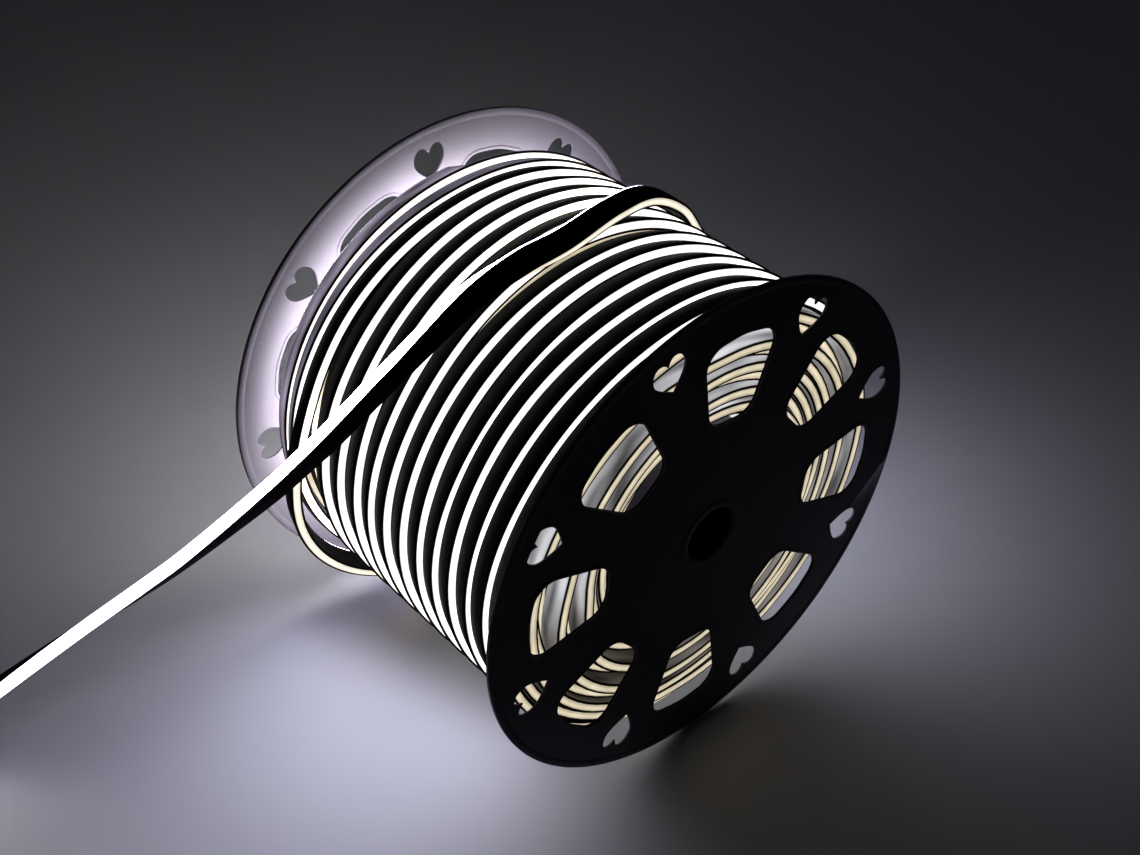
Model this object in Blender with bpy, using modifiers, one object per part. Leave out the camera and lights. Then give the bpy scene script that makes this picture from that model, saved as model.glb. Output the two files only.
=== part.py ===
"""A full reel of LED neon flex: a moulded plastic reel with pierced flanges,
the flex wound on it in layers, one slack turn, and the free end of the flex.

The reel stands on the rims of its two flanges, with its axle line along X and
its centre above the origin. +Z is up. Everything is in metres.
"""

import math

import bmesh
import bpy
from mathutils import Matrix, Vector

MM = 0.001

# Clearance between pieces that touch.
GAP = 0.3 * MM

# The reel.
FLANGE_RADIUS = 175 * MM
FLANGE_THICKNESS = 2.5 * MM
REEL_WIDTH = 262.6 * MM
SPINDLE_HOLE_RADIUS = 19 * MM
CORE_RADIUS = 66.5 * MM
CORE_WALL = 3 * MM
RIM_SEGMENTS = 96
TURNED_STEPS = 48

# The flange holes: a ring of rounded petals with a heart between each two.
HOLE_COUNT = 8
RIM_TO_PETAL = 26.2 * MM
RIM_TO_HEART_CENTRE = 25.5 * MM
NEAR_PETAL_ANGLE = math.radians(6.4)
FAR_PETAL_ANGLE = math.radians(19.0)
PETAL_INNER_RADIUS = 83 * MM
PETAL_OUTER_RADIUS = FLANGE_RADIUS - RIM_TO_PETAL
PETAL_CROWN = 5.3 * MM
PETAL_CORNER_RADIUS = PETAL_OUTER_RADIUS - PETAL_CROWN
PETAL_HALF_ANGLE = math.radians(13.33)
PETAL_INNER_HALF_WIDTH = 19 * MM
PETAL_OUTER_HALF_WIDTH = PETAL_CORNER_RADIUS * math.tan(PETAL_HALF_ANGLE)
PETAL_FILLET = 16 * MM
HEART_CENTRE_RADIUS = FLANGE_RADIUS - RIM_TO_HEART_CENTRE
HEART_WIDTH = 24.5 * MM
HEART_LENGTH = 26 * MM

# The flex and how it is wound.
FLEX_WIDTH = 16 * MM
FLEX_THICKNESS = 8 * MM
FLEX_CORNER = 1 * MM
TURN_PITCH = 16.1 * MM
TURN_LEAN = math.radians(19.5)
LAYER_PITCH = 8.3 * MM
LAYER_COUNT = 10
WINDING_RADIUS = 156.8 * MM

# As many turns as fit between the flanges, pushed up to the near flange. A
# leaning turn is this wide along the axle, from its crest and behind it.
NEAR_END_ROOM = 2.73 * MM
AHEAD_OF_CREST = FLEX_THICKNESS * math.sin(TURN_LEAN)
BEHIND_CREST = FLEX_WIDTH * math.cos(TURN_LEAN)
ROOM_FOR_CRESTS = REEL_WIDTH - 2 * FLANGE_THICKNESS - NEAR_END_ROOM - AHEAD_OF_CREST - BEHIND_CREST
TURN_COUNT = 1 + int(ROOM_FOR_CRESTS / TURN_PITCH)
LAST_CREST_X = REEL_WIDTH / 2 - FLANGE_THICKNESS - NEAR_END_ROOM - AHEAD_OF_CREST
FIRST_CREST_X = LAST_CREST_X - (TURN_COUNT - 1) * TURN_PITCH

# The layers under the outer one lie almost flat. At each end of the reel the
# flex climbs from one layer to the next over CLIMB degrees, and lies one pitch
# further in for each turn before and after that. The climbs are in degrees
# from the top towards the front, from the outermost two layers inwards; the
# innermost layer starts at the last one of the far end.
INNER_LEAN = math.radians(4)
INNER_END_ROOM = 2.4 * MM
CLIMB = 36
NEAR_CLIMBS = (-36, -4, 74, 88, 258)
FAR_CLIMBS = (40, 180, 300, 110, 20)

# The slack turn, counted from the far flange. It lies in a groove of the
# winding and sags out of it at the front: how far it has slid out (mm), at
# even steps of the angle from the top towards the front.
LOOSE_TURN = 3
LOOSE_TURN_SAG_START = 60
LOOSE_TURN_SAG_STEP = 12
LOOSE_TURN_SAG = (0.0, 1.0, 4.6, 11.0, 17.2, 19.8, 18.4, 14.0, 8.4, 3.2, 0.4, 0.0)
LOOSE_TURN_STATIONS = 72

# The free end, from the back of the drum over the top and down to the floor:
# x, y and z of the middle of the strip in mm, and the direction its lit face
# looks in, in degrees from +X towards up.
TAIL_ROUTE = (
    (-35.0, 140.3, 256.0, 180),
    (-27.0, 114.6, 289.6, 180),
    (-13.0, 73.6, 319.6, 180),
    (4.0, 28.0, 335.6, 176),
    (13.5, -18.0, 337.8, 162),
    (9.5, -47.6, 333.6, 142),
    (3.3, -78.8, 322.0, 118),
    (-2.0, -106.6, 303.6, 106),
    (-8.6, -124.6, 286.8, 100),
    (-17.1, -140.6, 268.8, 99),
    (-32.7, -162.6, 238.2, 98),
    (-44.3, -178.1, 217.9, 93),
    (-56.3, -194.7, 197.5, 89),
    (-74.3, -221.5, 169.2, 77),
    (-89.0, -248.0, 146.0, 67),
    (-101.0, -271.6, 128.9, 61),
    (-119.0, -305.0, 104.5, 52),
    (-137.0, -340.0, 79.0, 40),
    (-155.0, -376.0, 53.0, 26),
    (-172.0, -412.0, 30.0, 12),
    (-188.0, -449.0, 13.5, 3),
    (-203.0, -488.0, 5.4, 0),
    (-217.0, -528.0, 4.5, 0),
    (-229.0, -566.0, 4.5, 0),
)
TAIL_STATIONS = 64

# The moulded cap on the free end.
CAP_LENGTH = 14 * MM
CAP_WALL = 0.9 * MM

# Colours, roughness and metallic value of each material.
FINISHES = {
    "dark_reel_plastic": ((0.035, 0.033, 0.037), 0.42, 0.0),
    "black_flex_wall": ((0.012, 0.012, 0.014), 0.38, 0.0),
    "milky_cap_plastic": ((0.80, 0.78, 0.72), 0.35, 0.0),
}


def clear_scene():
    """Empty the file of the objects it opened with."""
    for obj in list(bpy.data.objects):
        bpy.data.objects.remove(obj, do_unlink=True)


def make_collection(name):
    """A collection of that name, linked to the scene."""
    collection = bpy.data.collections.new(name)
    bpy.context.scene.collection.children.link(collection)
    return collection


def make_material(name):
    """A Principled material from FINISHES."""
    colour, roughness, metallic = FINISHES[name]
    material = bpy.data.materials.new(name)
    material.use_nodes = True
    shader = material.node_tree.nodes["Principled BSDF"]
    shader.inputs["Base Color"].default_value = (*colour, 1.0)
    shader.inputs["Roughness"].default_value = roughness
    shader.inputs["Metallic"].default_value = metallic
    material.diffuse_color = (*colour, 1.0)
    return material


def around_axle(radius, angle, x=0.0):
    """A point at an angle from the top towards the back, round the axle line."""
    return Vector((x, radius * math.sin(angle), FLANGE_RADIUS + radius * math.cos(angle)))


def ring_points(radius, count):
    """Corners of a regular polygon whose flats lie at the radius."""
    corner = radius / math.cos(math.pi / count)
    angles = [2 * math.pi * (i + 0.5) / count for i in range(count)]
    return [(corner * math.sin(a), corner * math.cos(a)) for a in angles]


def fillet_points(before, corner, after, radius, steps=5):
    """Points along the arc that rounds one corner of an outline."""
    corner = Vector(corner)
    to_before = (Vector(before) - corner).normalized()
    to_after = (Vector(after) - corner).normalized()
    half = to_before.angle(to_after) / 2
    centre = corner + (to_before + to_after).normalized() * radius / math.sin(half)
    start = corner + to_before * radius / math.tan(half) - centre
    end = corner + to_after * radius / math.tan(half) - centre
    points = []
    for i in range(steps + 1):
        part = i / steps
        angle = start.angle(end)
        weight_start = math.sin((1 - part) * angle) / math.sin(angle)
        weight_end = math.sin(part * angle) / math.sin(angle)
        points.append(tuple(centre + start * weight_start + end * weight_end))
    return points


def petal_points():
    """Outline of one petal hole, pointing up from the axle line."""
    corners = [
        ((-PETAL_INNER_HALF_WIDTH, PETAL_INNER_RADIUS), PETAL_FILLET),
        ((PETAL_INNER_HALF_WIDTH, PETAL_INNER_RADIUS), PETAL_FILLET),
        ((PETAL_OUTER_HALF_WIDTH, PETAL_CORNER_RADIUS), PETAL_FILLET),
        ((0.0, PETAL_OUTER_RADIUS), 3 * PETAL_FILLET),
        ((-PETAL_OUTER_HALF_WIDTH, PETAL_CORNER_RADIUS), PETAL_FILLET),
    ]
    points = []
    for i, (corner, radius) in enumerate(corners):
        before = corners[i - 1][0]
        after = corners[(i + 1) % len(corners)][0]
        points += fillet_points(before, corner, after, radius)
    return points


def heart_points(steps=7):
    """Outline of one heart hole, lobes outwards, tip towards the axle line."""
    half = HEART_WIDTH / 2
    notch = Vector((0.0, 0.27 * HEART_LENGTH))
    tip = Vector((0.0, -0.52 * HEART_LENGTH))
    side = Vector((half, 0.12 * HEART_LENGTH))
    lobe = (notch, Vector((0.3 * half, 0.6 * HEART_LENGTH)), Vector((half, 0.48 * HEART_LENGTH)), side)
    flank = (side, Vector((half, -0.12 * HEART_LENGTH)), Vector((0.3 * half, -0.38 * HEART_LENGTH)), tip)
    right = []
    for a, b, c, d in (lobe, flank):
        for i in range(steps):
            t = i / steps
            s = 1 - t
            right.append(a * s**3 + b * 3 * s * s * t + c * 3 * s * t * t + d * t**3)
    right.append(tip)
    left = [Vector((-p.x, p.y)) for p in reversed(right[1:-1])]
    return [(p.x, p.y + HEART_CENTRE_RADIUS) for p in right + left]


def turned(points, angle):
    """The outline turned by an angle from up towards +Y."""
    c = math.cos(angle)
    s = math.sin(angle)
    return [(x * c + y * s, y * c - x * s) for x, y in points]


def make_flange(name, x, petal_angle, material, collection):
    """One flange: a flat plate, its outline and holes in one flat curve."""
    spacing = 2 * math.pi / HOLE_COUNT
    outlines = [ring_points(FLANGE_RADIUS, RIM_SEGMENTS)]
    outlines.append(ring_points(SPINDLE_HOLE_RADIUS, TURNED_STEPS))
    for i in range(HOLE_COUNT):
        outlines.append(turned(petal_points(), petal_angle + i * spacing))
        outlines.append(turned(heart_points(), petal_angle + (i + 0.5) * spacing))
    curve = bpy.data.curves.new(name, "CURVE")
    curve.dimensions = "2D"
    curve.fill_mode = "BOTH"
    curve.extrude = FLANGE_THICKNESS / 2
    for outline in outlines:
        spline = curve.splines.new("POLY")
        spline.points.add(len(outline) - 1)
        for point, (u, v) in zip(spline.points, outline):
            point.co = (u, v, 0.0, 1.0)
        spline.use_cyclic_u = True
    curve.materials.append(material)
    flange = bpy.data.objects.new(name, curve)
    flange.rotation_euler = (math.pi / 2, 0.0, math.pi / 2)
    flange.location = (x, 0.0, FLANGE_RADIUS)
    collection.objects.link(flange)
    return flange


def make_turned(name, profile, material, collection):
    """A solid turned about the axle line from a closed (radius, x) outline."""
    mesh = bpy.data.meshes.new(name)
    vertices = [(radius, 0.0, x) for radius, x in profile]
    edges = [(i, (i + 1) % len(profile)) for i in range(len(profile))]
    mesh.from_pydata(vertices, edges, [])
    mesh.materials.append(material)
    obj = bpy.data.objects.new(name, mesh)
    obj.rotation_euler = (0.0, math.pi / 2, 0.0)
    obj.location = (0.0, 0.0, FLANGE_RADIUS)
    collection.objects.link(obj)
    screw = obj.modifiers.new("turn", "SCREW")
    screw.axis = "Z"
    screw.angle = 2 * math.pi
    screw.steps = TURNED_STEPS
    screw.render_steps = TURNED_STEPS
    screw.use_merge_vertices = True
    screw.merge_threshold = 0.00001
    return obj


def core_profile():
    """Outline of the core tube, clear of both flanges by GAP."""
    half = REEL_WIDTH / 2 - FLANGE_THICKNESS - GAP
    inner = CORE_RADIUS - CORE_WALL
    return [(CORE_RADIUS, half), (CORE_RADIUS, -half), (inner, -half), (inner, half)]


def end_inset(layer, near, degrees):
    """How far in a layer ends, at an angle from the top towards the front."""
    climbs = NEAR_CLIMBS if near else FAR_CLIMBS
    number = layer if near else layer - 1
    upper = number % 2 == 0
    since = (degrees - climbs[number // 2]) % 360
    if since < CLIMB:
        part = since / CLIMB
        turns = (1 - CLIMB / 360) * (1 - part if upper else part)
    else:
        turns = (since - CLIMB if upper else 360 - since) / 360
    return turns * TURN_PITCH


def outer_profile():
    """The outside of the wound flex from the near end to the far end.

    Each turn leans, so the outside is a row of crests, with a groove for the
    slack turn.
    """
    lean_x = math.sin(TURN_LEAN)
    lean_r = math.cos(TURN_LEAN)
    crests = [FIRST_CREST_X + i * TURN_PITCH for i in range(TURN_COUNT)]
    exposed_edge = TURN_PITCH * lean_x
    groove = FLEX_THICKNESS + 2 * GAP
    outer = [(WINDING_RADIUS - FLEX_THICKNESS * lean_r, crests[-1] + AHEAD_OF_CREST)]
    for i in range(TURN_COUNT - 1, -1, -1):
        if i == LOOSE_TURN - 1:
            floor_x = crests[i] + groove * lean_x
            floor_radius = WINDING_RADIUS - groove * lean_r
            outer.append((floor_radius, floor_x))
            run = TURN_PITCH * lean_r
            outer.append((floor_radius - run * lean_x, floor_x - run * lean_r))
            continue
        outer.append((WINDING_RADIUS, crests[i]))
        if i:
            foot = crests[i - 1] + exposed_edge * lean_x
            outer.append((WINDING_RADIUS - exposed_edge * lean_r, foot))
    far_radius = WINDING_RADIUS - FLEX_WIDTH * lean_x
    far_x = crests[0] - BEHIND_CREST
    outer.append((far_radius, far_x))
    outer.append((far_radius - LAYER_PITCH / 2, far_x + AHEAD_OF_CREST / 2))
    return outer


def end_profile(near, degrees, outermost):
    """One end of the layers under the outer one, as steps from the outside in."""
    bore = CORE_RADIUS + GAP
    side = 1 if near else -1
    flange_face = REEL_WIDTH / 2 - FLANGE_THICKNESS
    room = INNER_END_ROOM if near else flange_face - BEHIND_CREST + FIRST_CREST_X
    slant = FLEX_THICKNESS * math.sin(INNER_LEAN)
    points = []
    for layer in range(1, LAYER_COUNT):
        top = min(WINDING_RADIUS - layer * LAYER_PITCH, outermost - GAP)
        bottom = WINDING_RADIUS - layer * LAYER_PITCH - FLEX_THICKNESS * math.cos(INNER_LEAN)
        x = side * (flange_face - room - end_inset(layer, near, degrees)) - slant
        points.append((top, x))
        points.append((max(bottom, bore), x + slant))
    points[-1] = (bore, points[-1][1])
    return points


def winding_profile(degrees):
    """Outline of the wound flex at an angle from the top towards the front."""
    outer = outer_profile()
    near_end = end_profile(True, degrees, outer[0][0])
    far_end = end_profile(False, degrees, outer[-1][0])
    return outer + far_end + list(reversed(near_end))


def make_winding(name, material, collection):
    """The wound flex, as outlines at even angles round the axle line."""
    bm = bmesh.new()
    rings = []
    for i in range(TURNED_STEPS):
        degrees = 360 * i / TURNED_STEPS
        profile = winding_profile(degrees)
        rings.append([bm.verts.new(around_axle(r, -math.radians(degrees), x)) for r, x in profile])
    count = len(rings[0])
    for ring, following in zip(rings, rings[1:] + rings[:1]):
        for i in range(count):
            j = (i + 1) % count
            bm.faces.new((ring[i], ring[j], following[j], following[i]))
    bmesh.ops.recalc_face_normals(bm, faces=bm.faces)
    mesh = bpy.data.meshes.new(name)
    bm.to_mesh(mesh)
    bm.free()
    mesh.materials.append(material)
    obj = bpy.data.objects.new(name, mesh)
    collection.objects.link(obj)
    return obj


def spline_at(values, position):
    """A smooth curve through a list of vectors, read at a position along it."""
    last = len(values) - 1
    i = min(int(position), last - 1)
    t = position - i
    p1 = values[i]
    p2 = values[i + 1]
    p0 = values[i - 1] if i else p1 * 2 - p2
    p3 = values[i + 2] if i + 2 <= last else p2 * 2 - p1
    slope1 = (p2 - p0) / 2
    slope2 = (p3 - p1) / 2
    a = 2 * t**3 - 3 * t**2 + 1
    b = t**3 - 2 * t**2 + t
    c = 3 * t**2 - 2 * t**3
    d = t**3 - t**2
    return p1 * a + slope1 * b + p2 * c + slope2 * d


def strip_section(width, thickness, corner):
    """Section of the strip as (across, outwards) points, corners cut off."""
    w = width / 2
    h = thickness / 2
    return [
        (w - corner, h),
        (corner - w, h),
        (-w, h - corner),
        (-w, corner - h),
        (corner - w, -h),
        (w - corner, -h),
        (w, corner - h),
        (w, h - corner),
    ]


def sweep(name, stations, section, material, collection, closed=False):
    """A solid strip through stations of (centre, across, outwards).

    A closed one joins its last station to its first and needs no ends.
    """
    mesh = bpy.data.meshes.new(name)
    bm = bmesh.new()
    rings = []
    for centre, across, outwards in stations:
        rings.append([bm.verts.new(centre + across * u + outwards * v) for u, v in section])
    count = len(section)
    followers = rings[1:] + rings[:1] if closed else rings[1:]
    for ring, following in zip(rings, followers):
        for i in range(count):
            j = (i + 1) % count
            bm.faces.new((ring[i], ring[j], following[j], following[i]))
    if not closed:
        bm.faces.new(rings[0])
        bm.faces.new(rings[-1])
    bmesh.ops.recalc_face_normals(bm, faces=bm.faces)
    bm.to_mesh(mesh)
    bm.free()
    mesh.materials.append(material)
    obj = bpy.data.objects.new(name, mesh)
    collection.objects.link(obj)
    return obj


def tail_stations():
    """Centre, across and outwards directions along the free end."""
    route = [Vector((x * MM, y * MM, z * MM)) for x, y, z, _ in TAIL_ROUTE]
    turns = [Vector((angle, 0.0, 0.0)) for _, _, _, angle in TAIL_ROUTE]
    last = len(route) - 1
    stations = []
    for i in range(TAIL_STATIONS):
        position = last * i / (TAIL_STATIONS - 1)
        centre = spline_at(route, position)
        ahead = spline_at(route, min(position + 0.02, last))
        behind = spline_at(route, max(position - 0.02, 0.0))
        along = (ahead - behind).normalized()
        level = (Vector((1.0, 0.0, 0.0)) - along * along.x).normalized()
        rising = along.cross(level)
        angle = math.radians(spline_at(turns, position).x)
        lit = level * math.cos(angle) + rising * math.sin(angle)
        stations.append((centre, lit, along.cross(lit)))
    return stations


def loose_turn_stations():
    """Centre, across and outwards directions round the slack turn."""
    lean_x = math.sin(TURN_LEAN)
    lean_r = math.cos(TURN_LEAN)
    crest = FIRST_CREST_X + (LOOSE_TURN - 1) * TURN_PITCH
    seat_x = crest - TURN_PITCH * lean_r**2 / 2 + (GAP + FLEX_THICKNESS / 2) * lean_x
    seat_radius = WINDING_RADIUS - TURN_PITCH * lean_r * lean_x / 2
    seat_radius -= (GAP + FLEX_THICKNESS / 2) * lean_r
    slides = [Vector((slide * MM, 0.0, 0.0)) for slide in LOOSE_TURN_SAG]
    last = len(slides) - 1
    stations = []
    for i in range(LOOSE_TURN_STATIONS):
        degrees = 360 * i / LOOSE_TURN_STATIONS
        position = (degrees - LOOSE_TURN_SAG_START) / LOOSE_TURN_SAG_STEP
        slide = max(spline_at(slides, position).x, 0.0) if 0 < position < last else 0.0
        angle = -math.radians(degrees)
        radial = Vector((0.0, math.sin(angle), math.cos(angle)))
        axial = Vector((1.0, 0.0, 0.0))
        centre = around_axle(seat_radius + slide * lean_r, angle, seat_x - slide * lean_x)
        across = axial * lean_r + radial * lean_x
        outwards = radial * lean_r - axial * lean_x
        stations.append((centre, across, outwards))
    return stations


def cap_stations(stations):
    """The cap's two ends, just past the last station of the tail."""
    centre, across, outwards = stations[-1]
    along = across.cross(outwards)
    if along.dot(centre - stations[-2][0]) < 0:
        along = -along
    start = centre + along * GAP
    return [(start, across, outwards), (start + along * CAP_LENGTH, across, outwards)]


def smooth_round_faces(obj):
    """Smooth shading, as turned and swept pieces have."""
    for polygon in obj.data.polygons:
        polygon.use_smooth = True


def main():
    """Build the reel, the wound flex and its free end."""
    clear_scene()
    collection = make_collection("led_neon_flex_reel")
    plastic = make_material("dark_reel_plastic")
    wall = make_material("black_flex_wall")
    milky = make_material("milky_cap_plastic")

    flange_x = (REEL_WIDTH - FLANGE_THICKNESS) / 2
    make_flange("near_flange", flange_x, NEAR_PETAL_ANGLE, plastic, collection)
    make_flange("far_flange", -flange_x, FAR_PETAL_ANGLE, plastic, collection)
    make_turned("core_tube", core_profile(), plastic, collection)
    make_winding("flex_winding", wall, collection)

    section = strip_section(FLEX_WIDTH, FLEX_THICKNESS, FLEX_CORNER)
    loose_width = TURN_PITCH * math.cos(TURN_LEAN) - 2 * GAP
    loose_section = strip_section(loose_width, FLEX_THICKNESS, FLEX_CORNER)
    loose = sweep("loose_turn", loose_turn_stations(), loose_section, wall, collection, closed=True)
    tail_path = tail_stations()
    tail = sweep("flex_tail", tail_path, section, wall, collection)
    cap_section = strip_section(
        FLEX_WIDTH + 2 * CAP_WALL, FLEX_THICKNESS + CAP_WALL, FLEX_CORNER
    )
    sweep("tail_end_cap", cap_stations(tail_path), cap_section, milky, collection)
    smooth_round_faces(loose)
    smooth_round_faces(tail)


main()
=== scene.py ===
"""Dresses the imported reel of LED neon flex.

The flanges, the wound flex, its slack turn, its free end and its end cap are
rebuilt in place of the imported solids, with the flex's own section, the uneven
turns and the glow that the real ones have. Everything is in metres, in the
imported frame: the axle line runs along X, +Z is up, and the free end leaves
towards -Y.
"""

import logging
import math
from dataclasses import dataclass
from enum import Enum

import bmesh
import bpy
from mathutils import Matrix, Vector


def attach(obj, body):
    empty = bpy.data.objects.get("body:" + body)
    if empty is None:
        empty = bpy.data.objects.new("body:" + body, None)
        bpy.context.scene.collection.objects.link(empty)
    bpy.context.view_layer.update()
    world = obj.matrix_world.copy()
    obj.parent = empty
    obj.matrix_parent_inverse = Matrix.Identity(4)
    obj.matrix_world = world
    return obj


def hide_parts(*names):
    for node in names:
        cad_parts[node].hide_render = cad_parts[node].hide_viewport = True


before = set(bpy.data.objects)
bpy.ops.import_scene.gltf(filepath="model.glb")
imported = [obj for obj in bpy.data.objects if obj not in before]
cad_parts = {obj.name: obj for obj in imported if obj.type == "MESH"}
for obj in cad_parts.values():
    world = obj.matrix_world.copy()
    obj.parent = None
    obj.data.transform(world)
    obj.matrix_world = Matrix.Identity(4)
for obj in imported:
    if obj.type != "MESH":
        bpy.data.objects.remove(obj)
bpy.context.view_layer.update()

MM = 0.001
BODY = "root"
LOG = logging.getLogger("flex_reel")

# A hole or rim outline as (u, v) points, a (place along, value) table, and a colour in linear light.
Outline = list[tuple[float, float]]
Table = tuple[tuple[float, float], ...]
Light = tuple[float, float, float]
NO_LIGHT: Light = (0.0, 0.0, 0.0)


class Zone(Enum):
    """Which surface of the flex a face belongs to, as its material number."""

    WALL = 0
    LIT = 1
    BACK = 2


class Side(Enum):
    """The two ends of the reel, as the sign of their X."""

    NEAR = 1
    FAR = -1


def linear(hex_colour: str) -> tuple[float, float, float, float]:
    """Turns an sRGB hex colour into linear light.

    Args:
        hex_colour: six hex digits after a hash sign.

    Returns:
        Red, green, blue and an opaque alpha.
    """
    digits = hex_colour.lstrip("#")
    parts = [int(digits[i : i + 2], 16) / 255 for i in (0, 2, 4)]
    light = [p / 12.92 if p <= 0.04045 else ((p + 0.055) / 1.055) ** 2.4 for p in parts]
    return light[0], light[1], light[2], 1.0


def add_node(tree: bpy.types.NodeTree, kind: str, inputs: dict | None = None, **settings) -> bpy.types.Node:
    """Adds a node with its settings and links.

    Args:
        tree: the material's node tree.
        kind: the node's type.
        inputs: a socket's name or number, to its value or to the output that feeds it.
        settings: the node's own properties.

    Returns:
        The new node.
    """
    node = tree.nodes.new(kind)
    for name, value in settings.items():
        setattr(node, name, value)
    for name, value in (inputs or {}).items():
        if isinstance(value, bpy.types.NodeSocket):
            tree.links.new(value, node.inputs[name])
        else:
            node.inputs[name].default_value = value
    return node


def read_table(table: Table, place: float) -> float:
    """Reads a smooth curve through a table of (place, value) rows.

    Args:
        table: the rows, in order of place.
        place: where to read it; beyond the ends it keeps the end value.

    Returns:
        The value there.
    """
    if place <= table[0][0]:
        return table[0][1]
    if place >= table[-1][0]:
        return table[-1][1]
    i = next(n for n in range(len(table) - 1) if place <= table[n + 1][0])
    (a, va), (b, vb) = table[i], table[i + 1]
    slope = (vb - va) / (b - a)
    before = slope if i == 0 else (vb - table[i - 1][1]) / (b - table[i - 1][0])
    after = slope if i + 2 == len(table) else (table[i + 2][1] - va) / (table[i + 2][0] - a)
    t = (place - a) / (b - a)
    s = 1 - t
    return (
        va * (1 + 2 * t) * s * s + before * (b - a) * t * s * s
        + vb * (3 - 2 * t) * t * t - after * (b - a) * t * t * s
    )


def settle(piece: bpy.types.Object, slot: str, *nodes: str) -> bpy.types.Object:
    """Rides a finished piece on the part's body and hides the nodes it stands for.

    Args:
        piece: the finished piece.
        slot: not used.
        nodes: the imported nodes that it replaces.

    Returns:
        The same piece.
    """
    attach(piece, BODY)
    if nodes:
        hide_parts(*nodes)
    LOG.info("%s: %d faces", piece.name, len(piece.data.polygons))
    return piece


def make_piece(name: str, mesh_maker: bmesh.types.BMesh, materials: list[bpy.types.Material]) -> bpy.types.Object:
    """Turns a finished bmesh into a linked object.

    Args:
        name: the piece's name.
        mesh_maker: the finished bmesh, which is freed.
        materials: its materials, in the order of the faces' material numbers.

    Returns:
        The new object.
    """
    mesh = bpy.data.meshes.new(name)
    bmesh.ops.recalc_face_normals(mesh_maker, faces=mesh_maker.faces)
    mesh_maker.to_mesh(mesh)
    mesh_maker.free()
    for material in materials:
        mesh.materials.append(material)
    piece = bpy.data.objects.new(name, mesh)
    bpy.context.scene.collection.objects.link(piece)
    return piece


def bridge(maker: bmesh.types.BMesh, loops: list[list[bmesh.types.BMVert]], smooth: bool = True) -> None:
    """Joins each closed loop of vertices to the next one with faces.

    Args:
        maker: the bmesh that the loops are in.
        loops: the loops, in order, all of one length.
        smooth: whether the faces are shaded smooth.
    """
    for loop, following in zip(loops, loops[1:]):
        for i in range(len(loop)):
            j = (i + 1) % len(loop)
            face = maker.faces.new((loop[i], loop[j], following[j], following[i]))
            face.smooth = smooth


@dataclass(frozen=True)
class Finish:
    """What every finish has: its name, colour, roughness, index of refraction, and how much of
    the shader's own gloss it keeps (0.5 is all of it)."""

    name: str
    colour: str
    roughness: float
    ior: float
    gloss: float = 0.5

    def material(self) -> bpy.types.Material:
        """Makes the material and gives it this finish's own detail.

        Returns:
            The material.
        """
        made = bpy.data.materials.new(self.name)
        made.use_nodes = True
        shader = made.node_tree.nodes["Principled BSDF"]
        shader.inputs["Base Color"].default_value = linear(self.colour)
        shader.inputs["Roughness"].default_value = self.roughness
        shader.inputs["IOR"].default_value = self.ior
        shader.inputs["Specular IOR Level"].default_value = self.gloss
        self.detail(made.node_tree, shader)
        made.diffuse_color = linear(self.colour)
        return made

    def detail(self, tree: bpy.types.NodeTree, shader: bpy.types.Node) -> None:
        """Adds the nodes of this finish; a plain one has none."""


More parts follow.
